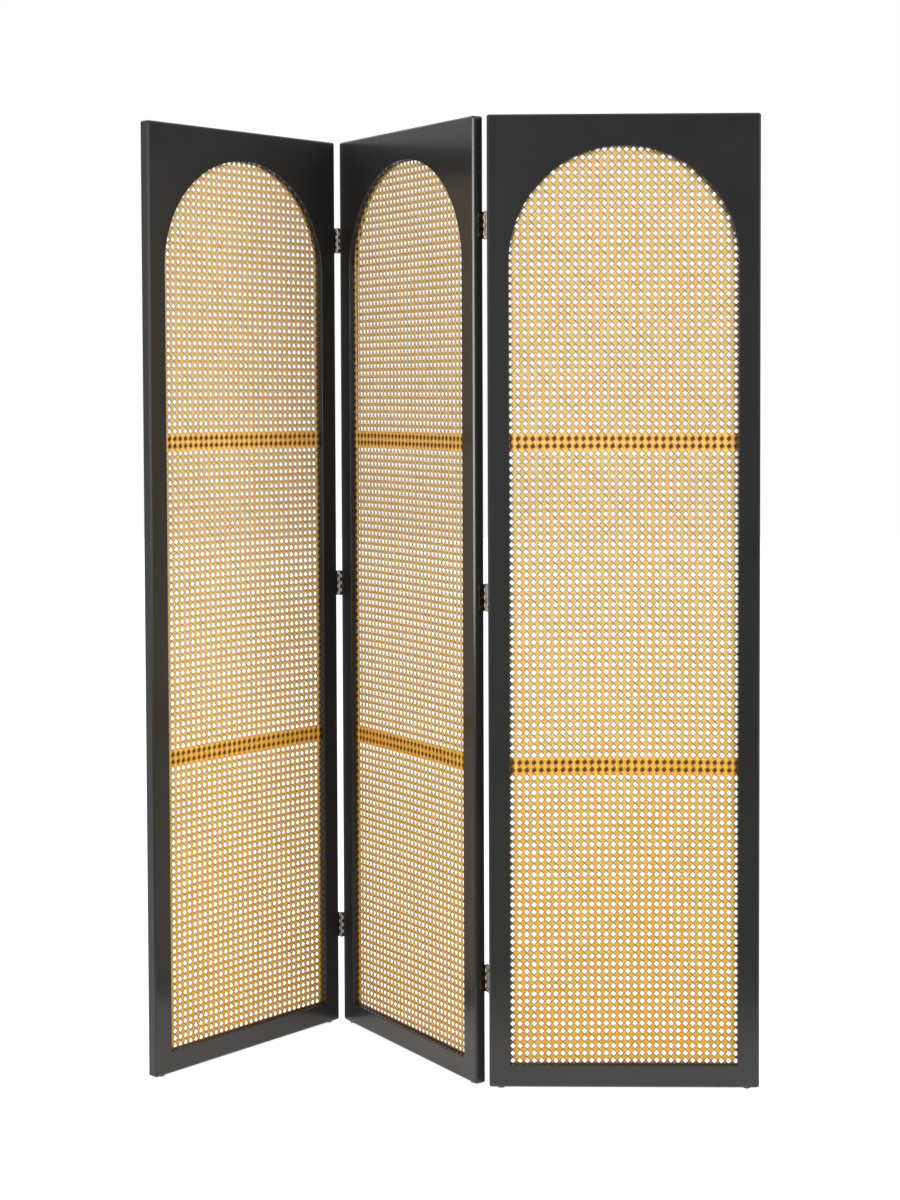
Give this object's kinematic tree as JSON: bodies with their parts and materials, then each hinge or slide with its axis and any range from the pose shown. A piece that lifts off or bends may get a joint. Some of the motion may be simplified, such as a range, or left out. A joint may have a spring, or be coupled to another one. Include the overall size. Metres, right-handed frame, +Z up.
{
  "type": "folding room divider screen",
  "caption": "Folding room divider: black wooden panels with round-arched openings filled with woven cane, joined in a zigzag by butt hinges.",
  "frame": {"origin": "on the floor, under the centre of the box around the screen as it stands in its zigzag", "axes": "+Z up, +X along the right panel from its hinged edge to its free edge, +Y from the right panel's front face to its back"},
  "size_m": [1.1436, 0.444, 1.8],
  "materials": {
    "frame": "satin black lacquer",
    "cane": "natural woven cane, lightly glossy",
    "hinge": "satin nickel with a warm tone",
    "glide": "dark brown moulded plastic"
  },
  "bodies": {
    "middle_panel": {"middle_panel_left_stile": "frame", "middle_panel_right_stile": "frame", "middle_panel_arch_head": "frame", "middle_panel_bottom_rail": "frame", "middle_panel_cane": "cane", "middle_panel_left_bead": "frame", "middle_panel_right_bead": "frame", "middle_panel_bottom_bead": "frame", "middle_panel_arch_bead": "frame", "middle_panel_lower_crossbar": "frame", "middle_panel_upper_crossbar": "frame", "middle_panel_left_glide": "glide", "middle_panel_right_glide": "glide", "left_joint_bottom_hinge_fixed_leaf": "hinge", "left_joint_bottom_hinge_pin": "hinge", "left_joint_middle_hinge_fixed_leaf": "hinge", "left_joint_middle_hinge_pin": "hinge", "left_joint_top_hinge_fixed_leaf": "hinge", "left_joint_top_hinge_pin": "hinge", "right_joint_bottom_hinge_fixed_leaf": "hinge", "right_joint_bottom_hinge_pin": "hinge", "right_joint_middle_hinge_fixed_leaf": "hinge", "right_joint_middle_hinge_pin": "hinge", "right_joint_top_hinge_fixed_leaf": "hinge", "right_joint_top_hinge_pin": "hinge"},
    "left_panel": {"left_panel_left_stile": "frame", "left_panel_right_stile": "frame", "left_panel_arch_head": "frame", "left_panel_bottom_rail": "frame", "left_panel_cane": "cane", "left_panel_left_bead": "frame", "left_panel_right_bead": "frame", "left_panel_bottom_bead": "frame", "left_panel_arch_bead": "frame", "left_panel_lower_crossbar": "frame", "left_panel_upper_crossbar": "frame", "left_panel_left_glide": "glide", "left_panel_right_glide": "glide", "left_joint_bottom_hinge_swing_leaf": "hinge", "left_joint_middle_hinge_swing_leaf": "hinge", "left_joint_top_hinge_swing_leaf": "hinge"},
    "right_panel": {"right_panel_left_stile": "frame", "right_panel_right_stile": "frame", "right_panel_arch_head": "frame", "right_panel_bottom_rail": "frame", "right_panel_cane": "cane", "right_panel_left_bead": "frame", "right_panel_right_bead": "frame", "right_panel_bottom_bead": "frame", "right_panel_arch_bead": "frame", "right_panel_lower_crossbar": "frame", "right_panel_upper_crossbar": "frame", "right_panel_left_glide": "glide", "right_panel_right_glide": "glide", "right_joint_bottom_hinge_swing_leaf": "hinge", "right_joint_middle_hinge_swing_leaf": "hinge", "right_joint_top_hinge_swing_leaf": "hinge"}
  },
  "joints": [
    {"name": "left_fold", "type": "hinge", "parent": "middle_panel", "child": "left_panel", "pos_m": [-0.23387, 0.20989, 0], "axis": [0, 0, 1], "range_deg": [-107, 73]},
    {"name": "right_fold", "type": "hinge", "parent": "middle_panel", "child": "right_panel", "pos_m": [0.06864, -0.19716, 0], "axis": [0, 0, 1], "range_deg": [-56.5, 123.5]}
  ]
}
